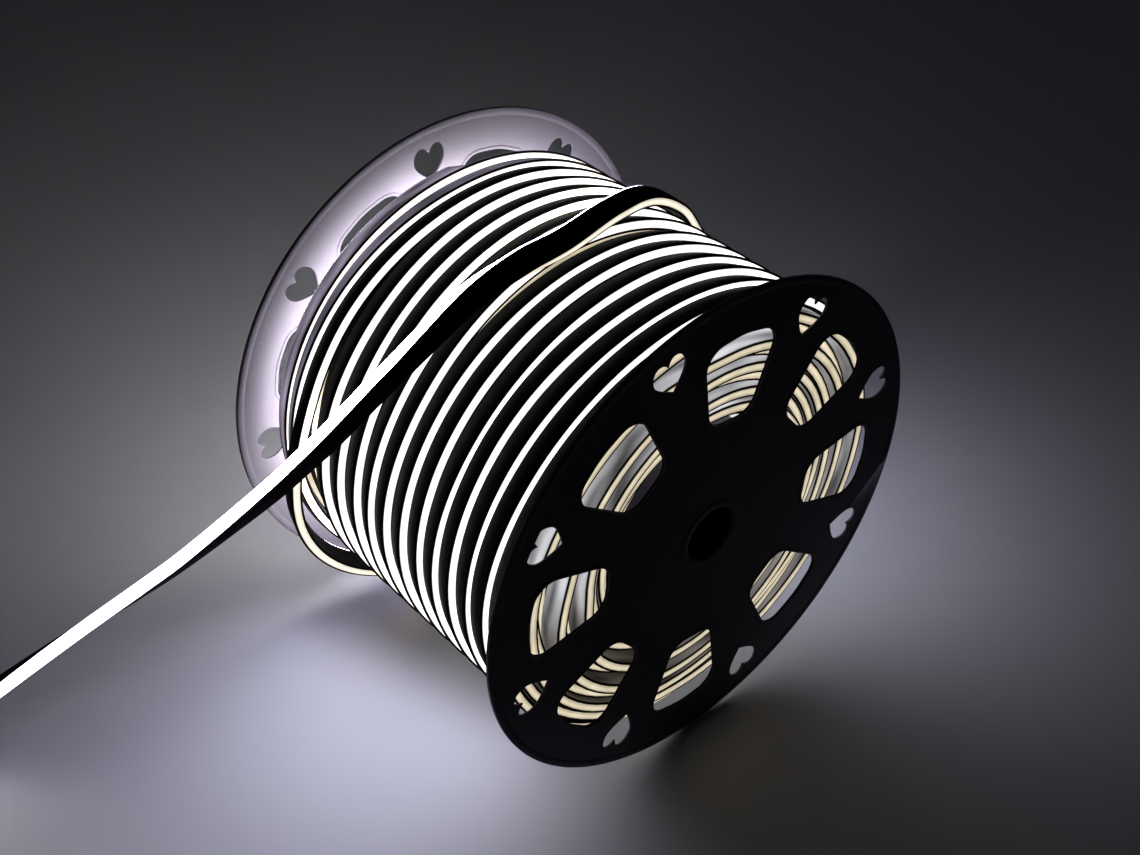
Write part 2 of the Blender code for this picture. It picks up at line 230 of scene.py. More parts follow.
@dataclass(frozen=True)
class BlackSilicone(Finish):
    """Extruded black silicone: matt, with faint die lines along it and a dusty bloom. Walls in
    the slots between turns take a grey sheen from the light that strays in there. The die lines
    are drawn some three times as coarse as real ones, so that they show."""

    dust_colour: str = "#0b0a0c"
    die_line_mm: float = 0.6
    die_run_mm: float = 1000 / 14
    die_depth_mm: float = 0.05
    dust_mm: float = 14.0
    sheen_mm: float = 55.0
    sheen_across_mm: float = 1000 / 90

    def detail(self, tree: bpy.types.NodeTree, shader: bpy.types.Node) -> None:
        """Die lines in the bump, dust in the colour and the roughness, stray light as a sheen.

        Args:
            tree: the material's node tree.
            shader: its Principled shader.
        """
        place = add_node(tree, "ShaderNodeUVMap", uv_map="flex")
        lines = add_node(
            tree, "ShaderNodeMapping",
            {"Vector": place.outputs[0], "Scale": (1000 / self.die_run_mm, 1000 / self.die_line_mm, 1.0)},
        )
        streaks = add_node(tree, "ShaderNodeTexNoise", {"Vector": lines.outputs[0], "Scale": 1.0, "Detail": 2.0})
        dust = add_node(
            tree, "ShaderNodeTexNoise",
            {"Vector": place.outputs[0], "Scale": 1000 / self.dust_mm, "Detail": 4.0, "Roughness": 0.6},
        )
        settled = add_node(
            tree, "ShaderNodeMapRange",
            {"Value": dust.outputs[0], "From Min": 0.42, "From Max": 0.72, "To Min": 0.0, "To Max": 1.0},
        )
        colour = add_node(
            tree, "ShaderNodeMix",
            {0: settled.outputs[0], 6: linear(self.colour), 7: linear(self.dust_colour)},
            data_type="RGBA",
        )
        rough = add_node(
            tree, "ShaderNodeMapRange",
            {"Value": settled.outputs[0], "To Min": self.roughness, "To Max": self.roughness + 0.14},
        )
        bump = add_node(
            tree, "ShaderNodeBump",
            {"Height": streaks.outputs[0], "Strength": 0.25, "Distance": self.die_depth_mm * MM},
        )
        stray = add_node(tree, "ShaderNodeAttribute", attribute_name="stray_light")
        patches = add_node(
            tree, "ShaderNodeMapping",
            {"Vector": place.outputs[0], "Scale": (1000 / self.sheen_mm, 1000 / self.sheen_across_mm, 1.0)},
        )
        uneven = add_node(tree, "ShaderNodeTexNoise", {"Vector": patches.outputs[0], "Scale": 1.0, "Detail": 1.0})
        sheen = add_node(
            tree, "ShaderNodeMapRange",
            {"Value": uneven.outputs[0], "From Min": 0.3, "From Max": 0.7, "To Min": 0.1, "To Max": 1.5},
        )
        tree.links.new(colour.outputs[2], shader.inputs["Base Color"])
        tree.links.new(rough.outputs[0], shader.inputs["Roughness"])
        tree.links.new(bump.outputs[0], shader.inputs["Normal"])
        tree.links.new(stray.outputs["Color"], shader.inputs["Emission Color"])
        tree.links.new(sheen.outputs[0], shader.inputs["Emission Strength"])


@dataclass(frozen=True)
class LitSilicone(Finish):
    """Milky silicone over the diodes: an even white glow, a little stronger over each one."""

    glow_colour: str = "#fffdf9"
    edge_colour: str = "#dcd6f4"
    strength: float = 15.0
    diode_spacing_mm: float = 8.33
    window_mm: float = 2.6
    half_mm: float = 4.0

    def detail(self, tree: bpy.types.NodeTree, shader: bpy.types.Node) -> None:
        """A faint beat at the diodes' spacing, and cooler edges.

        Args:
            tree: the material's node tree.
            shader: its Principled shader.
        """
        place = add_node(tree, "ShaderNodeUVMap", uv_map="flex")
        parts = add_node(tree, "ShaderNodeSeparateXYZ", {0: place.outputs[0]})
        beat = add_node(
            tree, "ShaderNodeMath", {0: parts.outputs[0], 1: 2 * math.pi * 1000 / self.diode_spacing_mm},
            operation="MULTIPLY",
        )
        wave = add_node(tree, "ShaderNodeMath", {0: beat.outputs[0]}, operation="SINE")
        glow = add_node(
            tree, "ShaderNodeMapRange",
            {"Value": wave.outputs[0], "From Min": -1.0, "To Min": 0.92 * self.strength, "To Max": self.strength},
        )
        off_middle = add_node(tree, "ShaderNodeMath", {0: parts.outputs[1]}, operation="ABSOLUTE")
        edge = add_node(
            tree, "ShaderNodeMapRange",
            {"Value": off_middle.outputs[0], "From Min": self.window_mm * MM, "From Max": self.half_mm * MM},
        )
        colour = add_node(
            tree, "ShaderNodeMix",
            {0: edge.outputs[0], 6: linear(self.glow_colour), 7: linear(self.edge_colour)},
            data_type="RGBA",
        )
        tree.links.new(colour.outputs[2], shader.inputs["Emission Color"])
        tree.links.new(glow.outputs[0], shader.inputs["Emission Strength"])


@dataclass(frozen=True)
class BackSilicone(Finish):
    """The flex's milky back edge: cream where only its own body glows through it, and white
    where the lit edge of the next turn lies against it. It dims towards the black walls."""

    own_glow: str = "#fff0d0"
    own_strength: float = 0.78
    passed_glow: str = "#fffdfb"
    passed_strength: float = 2.1
    cloud_mm: float = 22.0
    seam_at_mm: float = -1.2
    seam_mm: float = 0.35
    even_mm: float = 1.4
    edge_mm: float = 2.35

    def detail(self, tree: bpy.types.NodeTree, shader: bpy.types.Node) -> None:
        """Mixes the two glows by how near the next turn is, draws the seam line, and dims the
        glow towards the walls.

        Args:
            tree: the material's node tree.
            shader: its Principled shader.
        """
        place = add_node(tree, "ShaderNodeUVMap", uv_map="flex")
        parts = add_node(tree, "ShaderNodeSeparateXYZ", {0: place.outputs[0]})
        passed = add_node(tree, "ShaderNodeAttribute", attribute_name="passed_light")
        clouds = add_node(
            tree, "ShaderNodeTexNoise",
            {"Vector": place.outputs[0], "Scale": 1000 / self.cloud_mm, "Detail": 2.0},
        )
        uneven = add_node(
            tree, "ShaderNodeMapRange",
            {"Value": clouds.outputs[0], "From Min": 0.3, "From Max": 0.7, "To Min": 0.78, "To Max": 1.12},
        )
        from_seam = add_node(
            tree, "ShaderNodeMath", {0: parts.outputs[1], 1: self.seam_at_mm * MM}, operation="SUBTRACT",
        )
        off_seam = add_node(tree, "ShaderNodeMath", {0: from_seam.outputs[0]}, operation="ABSOLUTE")
        seam = add_node(
            tree, "ShaderNodeMapRange",
            {"Value": off_seam.outputs[0], "From Min": 0.3 * self.seam_mm * MM, "From Max": self.seam_mm * MM,
             "To Min": 0.55, "To Max": 1.0},
        )
        glow = add_node(
            tree, "ShaderNodeMapRange",
            {"Value": passed.outputs["Fac"], "To Min": self.own_strength, "To Max": self.passed_strength},
        )
        dulled = add_node(
            tree, "ShaderNodeMath", {0: glow.outputs[0], 1: uneven.outputs[0]}, operation="MULTIPLY",
        )
        strength = add_node(
            tree, "ShaderNodeMath", {0: dulled.outputs[0], 1: seam.outputs[0]}, operation="MULTIPLY",
        )
        off_middle = add_node(tree, "ShaderNodeMath", {0: parts.outputs[1]}, operation="ABSOLUTE")
        faded = add_node(
            tree, "ShaderNodeMapRange",
            {"Value": off_middle.outputs[0], "From Min": self.even_mm * MM, "From Max": self.edge_mm * MM,
             "To Min": 1.0, "To Max": 0.3},
        )
        at_edges = add_node(
            tree, "ShaderNodeMath", {0: strength.outputs[0], 1: faded.outputs[0]}, operation="MULTIPLY",
        )
        colour = add_node(
            tree, "ShaderNodeMix",
            {0: passed.outputs["Fac"], 6: linear(self.own_glow), 7: linear(self.passed_glow)},
            data_type="RGBA",
        )
        tree.links.new(colour.outputs[2], shader.inputs["Emission Color"])
        tree.links.new(at_edges.outputs[0], shader.inputs["Emission Strength"])


@dataclass(frozen=True)
class MouldedPlastic(Finish):
    """Injection-moulded polystyrene: nearly matt, with a spark-eroded grain and scuffs. The grain is
    drawn several times as coarse as the real one, so that it shows."""

    scuff_colour: str = "#5e5965"
    grain_mm: float = 0.8
    grain_depth_mm: float = 0.06
    scuff_mm: float = 9.0
    scuff_width_mm: float = 1.0
    scuff_slant: float = 0.6

    def detail(self, tree: bpy.types.NodeTree, shader: bpy.types.Node) -> None:
        """Grain in the bump, long scuffs in the colour and the roughness.

        Args:
            tree: the material's node tree.
            shader: its Principled shader.
        """
        place = add_node(tree, "ShaderNodeTexCoord")
        grain = add_node(
            tree, "ShaderNodeTexNoise",
            {"Vector": place.outputs["Object"], "Scale": 1000 / self.grain_mm, "Detail": 2.0},
        )
        stretched = add_node(
            tree, "ShaderNodeMapping",
            {"Vector": place.outputs["Object"], "Rotation": (self.scuff_slant, 0.0, 0.0),
             "Scale": (1.0, 1000 / self.scuff_mm, 1000 / self.scuff_width_mm)},
        )
        scuffs = add_node(
            tree, "ShaderNodeTexNoise",
            {"Vector": stretched.outputs[0], "Scale": 1.0, "Detail": 5.0, "Roughness": 0.65},
        )
        marked = add_node(
            tree, "ShaderNodeMapRange",
            {"Value": scuffs.outputs[0], "From Min": 0.56, "From Max": 0.74},
        )
        colour = add_node(
            tree, "ShaderNodeMix",
            {0: marked.outputs[0], 6: linear(self.colour), 7: linear(self.scuff_colour)},
            data_type="RGBA",
        )
        rough = add_node(
            tree, "ShaderNodeMapRange",
            {"Value": scuffs.outputs[0], "From Min": 0.35, "From Max": 0.7,
             "To Min": self.roughness - 0.05, "To Max": self.roughness + 0.12},
        )
        bump = add_node(
            tree, "ShaderNodeBump",
            {"Height": grain.outputs[0], "Strength": 0.3, "Distance": self.grain_depth_mm * MM},
        )
        tree.links.new(colour.outputs[2], shader.inputs["Base Color"])
        tree.links.new(rough.outputs[0], shader.inputs["Roughness"])
        tree.links.new(bump.outputs[0], shader.inputs["Normal"])


@dataclass(frozen=True)
class MilkyVinyl(Finish):
    """The glued-on end cap: cloudy soft vinyl that picks up the glow of the flex inside it."""

    cloud_colour: str = "#c9c2b0"
    glow_colour: str = "#fff6e2"
    cloud_mm: float = 5.0

    def detail(self, tree: bpy.types.NodeTree, shader: bpy.types.Node) -> None:
        """Clouds in the colour and in the faint glow.

        Args:
            tree: the material's node tree.
            shader: its Principled shader.
        """
        place = add_node(tree, "ShaderNodeTexCoord")
        clouds = add_node(
            tree, "ShaderNodeTexNoise",
            {"Vector": place.outputs["Object"], "Scale": 1000 / self.cloud_mm, "Detail": 3.0},
        )
        colour = add_node(
            tree, "ShaderNodeMix",
            {0: clouds.outputs[0], 6: linear(self.colour), 7: linear(self.cloud_colour)},
            data_type="RGBA",
        )
        glow = add_node(
            tree, "ShaderNodeMapRange",
            {"Value": clouds.outputs[0], "From Min": 0.3, "From Max": 0.7, "To Min": 0.5, "To Max": 0.9},
        )
        shader.inputs["Emission Color"].default_value = linear(self.glow_colour)
        tree.links.new(colour.outputs[2], shader.inputs["Base Color"])
        tree.links.new(glow.outputs[0], shader.inputs["Emission Strength"])


@dataclass(frozen=True)
class StudioPaper(Finish):
    """A pale paper floor, matt, with hardly visible fibre clouds."""

    cloud_colour: str = "#cfd0d8"
    cloud_mm: float = 1000 / 3

    def detail(self, tree: bpy.types.NodeTree, shader: bpy.types.Node) -> None:
        """Faint clouds in the colour.

        Args:
            tree: the material's node tree.
            shader: its Principled shader.
        """
        place = add_node(tree, "ShaderNodeTexCoord")
        clouds = add_node(
            tree, "ShaderNodeTexNoise",
            {"Vector": place.outputs["Object"], "Scale": 1000 / self.cloud_mm, "Detail": 3.0},
        )
        colour = add_node(
            tree, "ShaderNodeMix",
            {0: clouds.outputs[0], 6: linear(self.colour), 7: linear(self.cloud_colour)},
            data_type="RGBA",
        )
        tree.links.new(colour.outputs[2], shader.inputs["Base Color"])


@dataclass(frozen=True)
class Station:
    """One place along the flex: its middle, the directions of its lit edge and of its outer
    wall, its width there, how far along it lies, and how strongly its back edge is lit by
    the next turn. `lit` is false where its lit edge lies against the turn before it, and
    `stray` is the light on its walls in a slot between turns."""

    middle: Vector
    to_lit: Vector
    outwards: Vector
    width: float
    run: float
    passed_light: float
    lit: bool
    stray: Light = NO_LIGHT


@dataclass(frozen=True)
class FlexSection:
    """The flex's section: a flat bar with a lit edge, a milky back edge and black walls. Where
    the flex lies free, its back edge glows by `free_light` of what the next turn would add."""

    thickness: float = 8 * MM
    corner: float = 0.9 * MM
    back_wall: float = 1.65 * MM
    corner_steps: int = 2
    free_light: float = 0.3

    def outline(self, width: float) -> list[tuple[float, float, Zone]]:
        """Points round the section, each with the zone of the face that follows it.

        Args:
            width: the flex's width there.

        Returns:
            (towards the lit edge, outwards, zone) for each point.
        """
        w, t, r = width / 2, self.thickness / 2, self.corner
        inner = t - self.back_wall
        points = []
        for k, (cu, cv) in enumerate(((w - r, t - r), (r - w, t - r), (r - w, r - t), (w - r, r - t))):
            for step in range(self.corner_steps + 1):
                a = math.pi / 2 * (step / self.corner_steps + k)
                zone = Zone.LIT if k in (0, 3) and step < self.corner_steps else Zone.WALL
                points.append((cu + r * math.cos(a), cv + r * math.sin(a), zone))
            if k == 1:
                points.append((-w, inner, Zone.BACK))
                points.append((-w, -inner, Zone.WALL))
        points[-1] = (*points[-1][:2], Zone.LIT)
        return points

    def sweep(
        self, name: str, stations: list[Station], materials: list[bpy.types.Material]
    ) -> bpy.types.Object:
        """Makes a length of flex through the stations, closed at both ends.

        Args:
            name: the piece's name.
            stations: its places, in order.
            materials: the materials of the wall, the lit edge and the back edge.

        Returns:
            The new piece, with the `flex` UV map in metres and its two light attributes.
        """
        maker = bmesh.new()
        across = maker.loops.layers.uv.new("flex")
        passed = maker.verts.layers.float.new("passed_light")
        stray = maker.verts.layers.float_color.new("stray_light")
        rings = []
        for station in stations:
            outline = self.outline(station.width)
            ring = [
                maker.verts.new(station.middle + station.to_lit * u + station.outwards * v)
                for u, v, _ in outline
            ]
            for vertex, (_, v, _) in zip(ring, outline):
                vertex[passed] = station.passed_light
                on_wall = abs(v) > self.thickness / 2 - 0.01 * MM
                vertex[stray] = (*(station.stray if on_wall else NO_LIGHT), 1.0)
            rings.append((ring, outline, station))
        for (ring, outline, here), (following, outline_there, there) in zip(rings, rings[1:]):
            count = len(ring)
            for i, (_, _, zone) in enumerate(outline):
                j = (i + 1) % count
                face = maker.faces.new((ring[i], ring[j], following[j], following[i]))
                shown = Zone.WALL if zone is Zone.LIT and not here.lit else zone
                face.material_index = shown.value
                face.smooth = True
                on_edge = zone is not Zone.WALL
                pick = 1 if on_edge else 0
                places = (
                    (here.run, outline[i][pick]), (here.run, outline[j][pick]),
                    (there.run, outline_there[j][pick]), (there.run, outline_there[i][pick]),
                )
                for loop, place in zip(face.loops, places):
                    loop[across].uv = place
        for ring, _, _ in (rings[0], rings[-1]):
            maker.faces.new(ring)
        return make_piece(name, maker, materials)


@dataclass(frozen=True)
class WoundFlex:
    """The flex on the drum: the outer layer turn by turn, the layer under it, the ends of the
    deeper layers, and a plain core under them all."""

    section: FlexSection
    axle_height: float = 175 * MM
    outer_radius: float = 156.8 * MM
    layer_pitch: float = 8.3 * MM
    layers: int = 10
    pitch: float = 16.1 * MM
    width: float = 15.6 * MM
    free_width: float = 16 * MM
    near_crest: float = 125.5 * MM
    near_edge: float = 126.4 * MM
    far_edge: float = -117.08 * MM
    bore: float = 66.8 * MM
    step_degrees: float = 2.5
    inner_step_degrees: float = 5.0
    # Where each turn's crest lies along X (mm), at 0, 50 and 100 degrees from the top towards
    # the front, and how far the turn leans (degrees), from the far flange to the near one.
    turns: tuple[tuple[float, float, float, float], ...] = (
        (-100.0, -103.0, -101.5, 20.0),
        (-86.0, -92.5, -96.0, 20.0),
        (-73.0, -79.0, -82.5, 18.0),
        (-58.0, -59.5, -63.0, 23.0),
        (-43.0, -42.0, -46.0, 21.5),
        (-27.0, -25.0, -29.0, 21.5),
        (-10.0, -9.0, -14.0, 24.0),
        (8.0, 7.7, 3.0, 20.0),
        (28.0, 24.5, 19.0, 23.0),
        (44.0, 40.5, 36.0, 20.0),
        (62.0, 57.5, 52.0, 20.7),
        (78.0, 72.5, 68.0, 18.6),
        (95.0, 89.5, 83.5, 19.0),
        (111.0, 105.5, 100.0, 15.5),
        (125.0, 121.5, 116.5, 18.0),
    )
    slack: int = 2
    # The slack turn is cut off this many degrees before its place in the layer, and the lead-in
    # takes over this many degrees into the last turn.
    slack_cut: float = 70.0
    lead_in_at: float = 130.0
    # The lead-in lies on the other turns at this radius once it has climbed, and meets the free
    # end at this slope along X.
    lead_in_radius: float = 161.9 * MM
    lead_in_slope: float = -0.19
    # Between these places along the layer the back edges come to their full light.
    dim_until: float = 150.0
    full_from: float = 350.0
    # A turn lies free of the next one once it has slid out this far, over this much more.
    free_from: float = 2.5 * MM
    free_over: float = 8 * MM
    # How strong the light beside the far flange is, and over how many turns it fades in.
    far_level: float = 0.6
    far_turns_lit: float = 2.6
    far_turns_fade: float = 1.2
    # How far the slack turn has slid out (mm), by degrees from the top towards the front.
    slack_slide: Table = (
        (60.0, 0.0), (72.0, 1.0), (84.0, 4.6), (96.0, 11.0), (108.0, 17.2), (120.0, 19.8),
        (132.0, 18.4), (144.0, 14.0), (156.0, 8.4), (168.0, 3.2), (180.0, 0.4), (192.0, 0.0),
    )
    # The layers under the outer one lie almost flat at their ends. Where the flex climbs there
    # from each layer to the one over it, outermost first, in degrees from the top towards the
    # front; the innermost layer starts at the last one of the far end.
    end_width: float = 15.4 * MM
    end_lean: float = 1.0
    layer_lean: float = 19.5
    climb: float = 36.0
    near_climbs: tuple[float, ...] = (-36.0, -4.0, 74.0, 88.0, 258.0)
    far_climbs: tuple[float, ...] = (40.0, 180.0, 300.0, 110.0, 20.0)
    # How many turns of each hidden layer are made at the near and at the far end, and how far
    # the plain core under them stays clear of the layers' crests and of the winding's ends.
    near_turns: float = 1.9
    far_turns: float = 1.4
    core_depth: float = 9 * MM
    core_from_near: float = 34 * MM
    core_from_far: float = 27 * MM
    # How bright the stray light is on the walls at the near end, by the same angle, and the
    # colour of its bright and its dim parts and of the light beside the far flange.
    stray_levels: Table = (
        (-60.0, 0.35), (-20.0, 0.62), (10.0, 0.6), (40.0, 0.42), (75.0, 0.6), (105.0, 0.2), (140.0, 0.1),
        (175.0, 0.2), (215.0, 0.3), (262.0, 0.4), (300.0, 0.35),
    )
    stray_bright: str = "#e6e5ea"
    stray_dim: str = "#9c8a6e"
    stray_far: str = "#a69db2"

    def crest_station(
        self, degrees: float, crest: float, radius: float, lean: float, width: float,
        slide: float, run: float, passed_light: float, lit: bool, stray: Light = NO_LIGHT,
    ) -> Station:
        """Places the flex by the crest of its back edge.

        Args:
            degrees: the angle from the top towards the front.
            crest: the crest's X.
            radius: the crest's distance from the axle line.
            lean: how far the turn leans, in degrees.
            width: the flex's width there.
            slide: how far it has slid out of its seat.
            run: how far along the flex it is.
            passed_light: how strongly the next turn lights the back edge.
            lit: whether its lit edge shows.
            stray: the stray light on its walls.

        Returns:
            The station.
        """
        angle, tilt = math.radians(degrees), math.radians(lean)
        radial = Vector((0.0, -math.sin(angle), math.cos(angle)))
        axial = Vector((1.0, 0.0, 0.0))
        to_back = axial * math.cos(tilt) + radial * math.sin(tilt)
        outwards = radial * math.cos(tilt) - axial * math.sin(tilt)
        top = Vector((crest, 0.0, self.axle_height)) + radial * radius
        middle = top - to_back * (width / 2) + outwards * (slide - self.section.thickness / 2)
        return Station(middle, -to_back, outwards, width, run, passed_light, lit, stray)

    def near_stray(self, degrees: float) -> Light:
        """The stray light on the walls at the near end: white where bright, brownish where dim.

        Args:
            degrees: the angle from the top towards the front.

        Returns:
            The light.
        """
        level = read_table(self.stray_levels, (degrees + 60) % 360 - 60)
        bright, dim = linear(self.stray_bright), linear(self.stray_dim)
        return tuple(level * (dim[i] + (bright[i] - dim[i]) * min(1.0, level / 0.5)) for i in range(3))

    def waver(self, degrees: float) -> float:
        """The small sideways waver of hand-guided turns, which never repeats from turn to turn."""
        a = math.radians(degrees)
        return (0.35 * math.sin(2.7 * a + 0.8) + 0.25 * math.sin(5.3 * a + 2.1)) * MM

    def outer_tables(self) -> tuple[Table, Table]:
        """The outer layer's crest and lean, by degrees travelled from its start at the near end.

        Returns:
            The table of crest X (metres) and the table of lean (degrees).
        """
        crests, leans = [], []
        last = len(self.turns) - 1
        for number in range(last, -1, -1):
            at_top, at_50, at_100, lean = self.turns[number]
            start = 360.0 * (last - number)
            crests += [(start, at_top * MM), (start + 50, at_50 * MM), (start + 100, at_100 * MM)]
            leans.append((start + 50, lean))
        return tuple(crests), tuple(leans)

    def outer_stations(self, first: float, last: float) -> list[Station]:
        """Stations of the outer layer between two places.

        Args:
            first: degrees travelled from the layer's start at the near end.
            last: where the length ends.

        Returns:
            The stations.
        """
        crests, leans = self.outer_tables()
        slack_start = 360.0 * (len(self.turns) - 1 - self.slack)
        count = max(2, round((last - first) / self.step_degrees))
        stations = []
        for i in range(count + 1):
            travelled = first + (last - first) * i / count
            crest = read_table(crests, travelled)
            lean = read_table(leans, travelled)
            spacing = crest - read_table(crests, travelled + 360)
            last_turn = travelled > 360.0 * (len(self.turns) - 1)
            room = self.width if last_turn else spacing * math.cos(math.radians(lean)) - 0.1 * MM
            width = min(self.width, room)
            on_slack = travelled - slack_start
            slide = read_table(self.slack_slide, on_slack) * MM if 0 < on_slack < 360 else 0.0
            free = min(1.0, max(0.0, slide - self.free_from) / self.free_over)
            width += (self.free_width - width) * free
            over_slack = travelled - slack_start + 360
            beside_slack = 0 < over_slack < 360 and read_table(self.slack_slide, over_slack) > 0.5
            light = min(1.0, max(0.0, (travelled - self.dim_until) / (self.full_from - self.dim_until)))
            passed = light * (1 - (1 - self.section.free_light) * free)
            lit = last_turn or free > 0 or beside_slack
            turns_in = travelled / 360 - len(self.turns) + self.far_turns_lit
            beside_flange = min(1.0, max(0.0, turns_in) / self.far_turns_fade)
            stray = tuple(self.far_level * beside_flange * part for part in linear(self.stray_far)[:3])
            stations.append(self.crest_station(
                travelled, crest + self.waver(travelled) * (1 - free), self.outer_radius, lean, width,
                slide, math.radians(travelled) * self.outer_radius, passed, lit, stray,
            ))
        return stations

    def layer_radius(self, number: int) -> float:
        """The crest radius of a layer, counted from 0 at the outside."""
        return self.outer_radius - number * self.layer_pitch

    def end_crest(self, side: Side, away: float) -> float:
        """Where the crest of a flat-lying turn is.

        Args:
            side: the end of the reel.
            away: how many turns it is from that end.

        Returns:
            The crest's X.
        """
        slant = self.section.thickness * math.sin(math.radians(self.end_lean))
        if side is Side.NEAR:
            return self.near_edge - slant - away * self.pitch
        return self.far_edge - slant + self.end_width + away * self.pitch

    def end_run(
        self, name: str, side: Side, outer: int, climb_at: float, turns: tuple[float, float],
        materials: list[bpy.types.Material],
    ) -> bpy.types.Object:
        """The end of two layers, where the flex climbs from the lower one to the upper one.

        Args:
            name: the length's name.
            side: which end of the reel.
            outer: the upper layer's number from the outside.
            climb_at: where it climbs, in degrees from the top towards the front.
            turns: how many turns of the lower and of the upper layer are made.
            materials: the flex's materials.

        Returns:
            The length of flex.
        """
        lower, upper = self.layer_radius(outer + 1), self.layer_radius(outer)
        start, end = -360.0 * turns[0], 360.0 * turns[1] + self.climb
        if not turns[0]:
            start = self.climb
        count = round((end - start) / self.inner_step_degrees)
        stations = []
        for i in range(count + 1):
            travelled = start + (end - start) * i / count
            part = min(1.0, max(0.0, travelled / self.climb))
            radius = lower + (upper - lower) * part * part * (3 - 2 * part)
            away = max(0.0, -travelled, travelled - self.climb) / 360.0
            crest = self.end_crest(side, away) + 0.5 * self.waver(travelled + 777 * outer)
            stray = self.near_stray(travelled + climb_at) if side is Side.NEAR else NO_LIGHT
            stations.append(self.crest_station(
                travelled + climb_at, crest, radius, self.end_lean, self.end_width, 0.0,
                math.radians(travelled) * radius, 0.0, side is Side.FAR and away < 1.0, stray,
            ))
        return self.section.sweep(name, stations, materials)

    def lower_layer(self, materials: list[bpy.types.Material]) -> bpy.types.Object:
        """The whole layer under the outer one, which shows where the slack turn has left its seat.

        It starts with the last turns of the layer under it, climbs from there at the far end, and
        climbs to the outer layer at the near end.

        Args:
            materials: the flex's materials.

        Returns:
            The layer.
        """
        radii = [self.layer_radius(number) for number in (2, 1, 0)]
        near_start = -self.climb
        far_end = self.far_climbs[0] + self.climb - 360.0 * len(self.turns)
        far_start = far_end - self.climb
        first = far_start - 360.0 * self.far_turns
        upright = near_start - 800
        leans = (
            (far_end + 150, self.end_lean), (far_end + 450, self.layer_lean), (upright, self.layer_lean),
            (near_start - 420, self.end_lean), (near_start, self.end_lean), (0.0, self.turns[-1][3]),
        )
        from_x, to_x = self.end_crest(Side.FAR, 0.0), self.end_crest(Side.NEAR, 0.0)
        count = round(-first / self.inner_step_degrees)
        stations = []
        for i in range(count + 1):
            travelled = first - first * i / count
            up_far = min(1.0, max(0.0, (travelled - far_start) / self.climb))
            up_near = min(1.0, max(0.0, 1 + travelled / self.climb))
            height = radii[0] + (radii[1] - radii[0]) * up_far * up_far * (3 - 2 * up_far)
            height += (radii[2] - radii[1]) * up_near * up_near * (3 - 2 * up_near)
            crossed = min(1.0, max(0.0, (travelled - far_end) / (near_start - far_end)))
            crest = from_x + (to_x - from_x) * crossed + (self.near_crest - to_x) * up_near
            crest += max(0.0, far_start - travelled) / 360.0 * self.pitch
            stations.append(self.crest_station(
                travelled, crest + 0.5 * self.waver(travelled) * (1 - up_near), height,
                read_table(leans, travelled), self.end_width, 0.0, math.radians(travelled) * radii[1],
                0.0, travelled < far_end + 360, self.near_stray(travelled) if travelled > upright else NO_LIGHT,
            ))
        return self.section.sweep("layer_below", stations, materials)

    def lead_in_stations(self, tail_start: Station) -> list[Station]:
        """The last part of the outer layer: it climbs onto the others and runs to the free end.

        Args:
            tail_start: the free end's first station, which it meets.

        Returns:
            The stations, from the far end of the outer layer to the free end.
        """
        crests, leans = self.outer_tables()
        start = 360.0 * (len(self.turns) - 1) + self.lead_in_at
        crest, lean = read_table(crests, start), read_table(leans, start)
        first = self.crest_station(
            start, crest, self.outer_radius, lean, self.width, 0.0,
            math.radians(start) * self.outer_radius, 0.0, True,
        )
        arm = tail_start.middle - Vector((tail_start.middle.x, 0.0, self.axle_height))
        end = start - self.lead_in_at + math.degrees(math.atan2(-arm.y, arm.z)) % 360
        first_arm = first.middle - Vector((first.middle.x, 0.0, self.axle_height))
        first_radius, lying = first_arm.length, self.lead_in_radius
        run_out = (end - start) / 360 * 2 * math.pi * lying
        stations = []
        count = round((end - start) / self.step_degrees)
        for i in range(count + 1):
            part = i / count
            degrees = start + (end - start) * part
            rise = min(1.0, part / 0.3)
            rise = rise * rise * (3 - 2 * rise)
            ease = part * part * (3 - 2 * part)
            x = first.middle.x + (tail_start.middle.x - first.middle.x) * ease
            x += self.lead_in_slope * -run_out * (part ** 3 - part ** 2)
            radius = first_radius + (lying - first_radius) * rise
            radius += (arm.length - lying) * max(0.0, (part - 0.8) / 0.2)
            angle = math.radians(degrees)
            radial = Vector((0.0, -math.sin(angle), math.cos(angle)))
            middle = Vector((x, 0.0, self.axle_height)) + radial * radius
            tilt = math.radians(lean) * (1 - rise)
            to_lit = -(Vector((1.0, 0.0, 0.0)) * math.cos(tilt) + radial * math.sin(tilt))
            to_lit = to_lit.lerp(tail_start.to_lit, max(0.0, (part - 0.6) / 0.4)).normalized()
            outwards = (radial - to_lit * radial.dot(to_lit)).normalized()
            width = self.width + (self.free_width - self.width) * part
            stations.append(Station(
                middle, to_lit, outwards, width, math.radians(degrees) * self.outer_radius,
                self.section.free_light, True,
            ))
        stations[-1] = Station(
            tail_start.middle, tail_start.to_lit, tail_start.outwards, self.free_width,
            stations[-1].run, self.section.free_light, True,
        )
        return stations

    def core(self, materials: list[bpy.types.Material]) -> bpy.types.Object:
        """The plain body under the layers' ends, which stands for the turns that nothing shows.

        Args:
            materials: the flex's materials, of which it takes the wall's.

        Returns:
            The core.
        """
        maker = bmesh.new()
        radius = self.layer_radius(2) - self.core_depth
        low, high = self.far_edge + self.core_from_far, self.near_edge - self.core_from_near
        profile = ((self.bore, low), (radius, low), (radius, high), (self.bore, high))
        rings = []
        steps = 96
        for i in range(steps):
            a = 2 * math.pi * i / steps
            rings.append([
                maker.verts.new((x, r * math.sin(a), self.axle_height + r * math.cos(a))) for r, x in profile
            ])
        bridge(maker, rings + rings[:1], smooth=False)
        return make_piece("core_under_layers", maker, materials)

